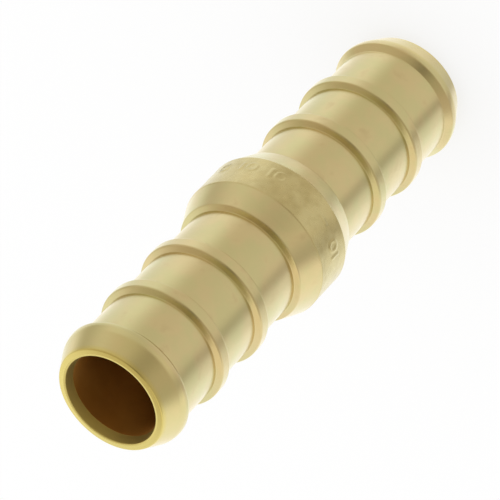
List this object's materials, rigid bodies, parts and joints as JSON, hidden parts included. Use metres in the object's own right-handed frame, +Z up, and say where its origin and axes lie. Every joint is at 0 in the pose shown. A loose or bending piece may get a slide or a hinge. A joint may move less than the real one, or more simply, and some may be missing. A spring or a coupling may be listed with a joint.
{
  "type": "barbed pipe coupling",
  "caption": "Straight barbed brass coupling with tapered insert ends, grip rings, a stop collar and a through waterway.",
  "frame": {"origin": "centre of the waterway at the lower end ring's flat face", "axes": "+Z up along the waterway, +X and +Y across it. Both ends are alike, so either can be the upper one."},
  "size_m": [0.0102, 0.0102, 0.0359],
  "materials": {
    "brass": "satin turned"
  },
  "bodies": {
    "root": {"fitting_body": "brass"}
  },
  "joints": []
}
